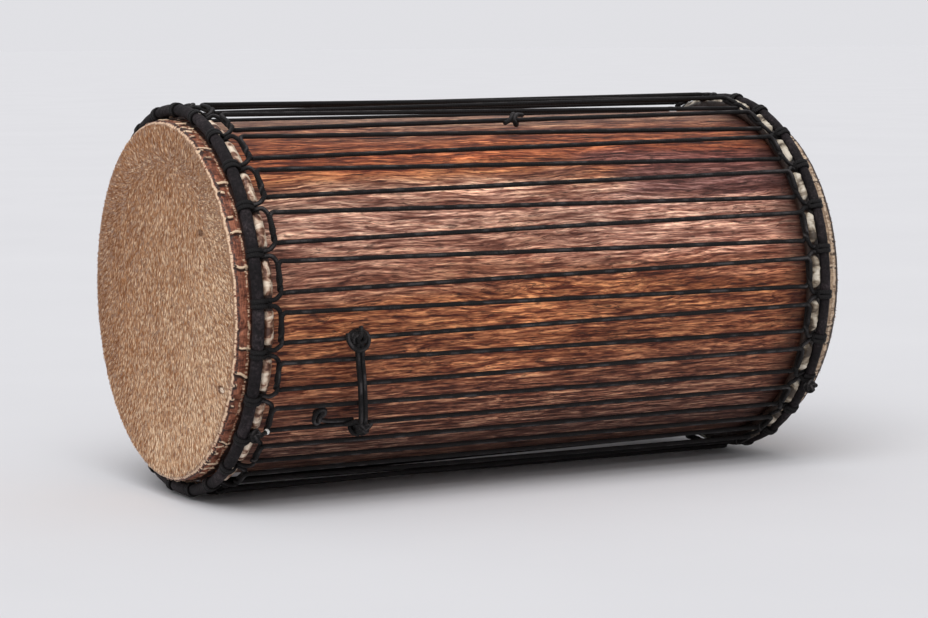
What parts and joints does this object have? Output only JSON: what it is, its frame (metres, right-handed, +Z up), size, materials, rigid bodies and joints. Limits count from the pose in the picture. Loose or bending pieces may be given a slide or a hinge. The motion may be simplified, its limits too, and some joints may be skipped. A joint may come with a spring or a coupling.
{
  "type": "rope-tuned cylindrical drum",
  "caption": "Cylindrical wooden drum with a skin head at each end, held by hoops and rings and tuned by one rope lacing, lying on its side.",
  "frame": {"origin": "centre of the base of the drum's box as it lies on its side, on the ground", "axes": "+X along the drum's axis from the near head to the far head, +Z up"},
  "size_m": [0.6798, 0.3886, 0.3868],
  "materials": {
    "shell_wood": "oiled red-brown hardwood, coarse lengthwise grain",
    "head_hide": "dry rawhide with short tan hair on the head and dark red-brown collar",
    "hoop_steel": "plain round bar, covered by skin or cloth",
    "ring_cloth": "matt black cloth strip",
    "black_rope": "black braided rope, faint sheen"
  },
  "bodies": {
    "root": {"shell": "shell_wood", "near_head_skin": "head_hide", "far_head_skin": "head_hide", "near_flesh_hoop": "hoop_steel", "far_flesh_hoop": "hoop_steel", "near_crown_ring": "hoop_steel", "far_crown_ring": "hoop_steel", "near_ring_cloth": "ring_cloth", "far_ring_cloth": "ring_cloth", "near_cradle_cord": "black_rope", "far_cradle_cord": "black_rope", "near_cradle_knot": "black_rope", "far_cradle_knot": "black_rope", "lacing_rope": "black_rope", "lacing_knot": "black_rope", "tie_upper_knot": "black_rope", "tie_lower_knot": "black_rope", "tie_cord": "black_rope", "tie_tail": "black_rope", "tie_tail_knot": "black_rope"}
  },
  "joints": []
}
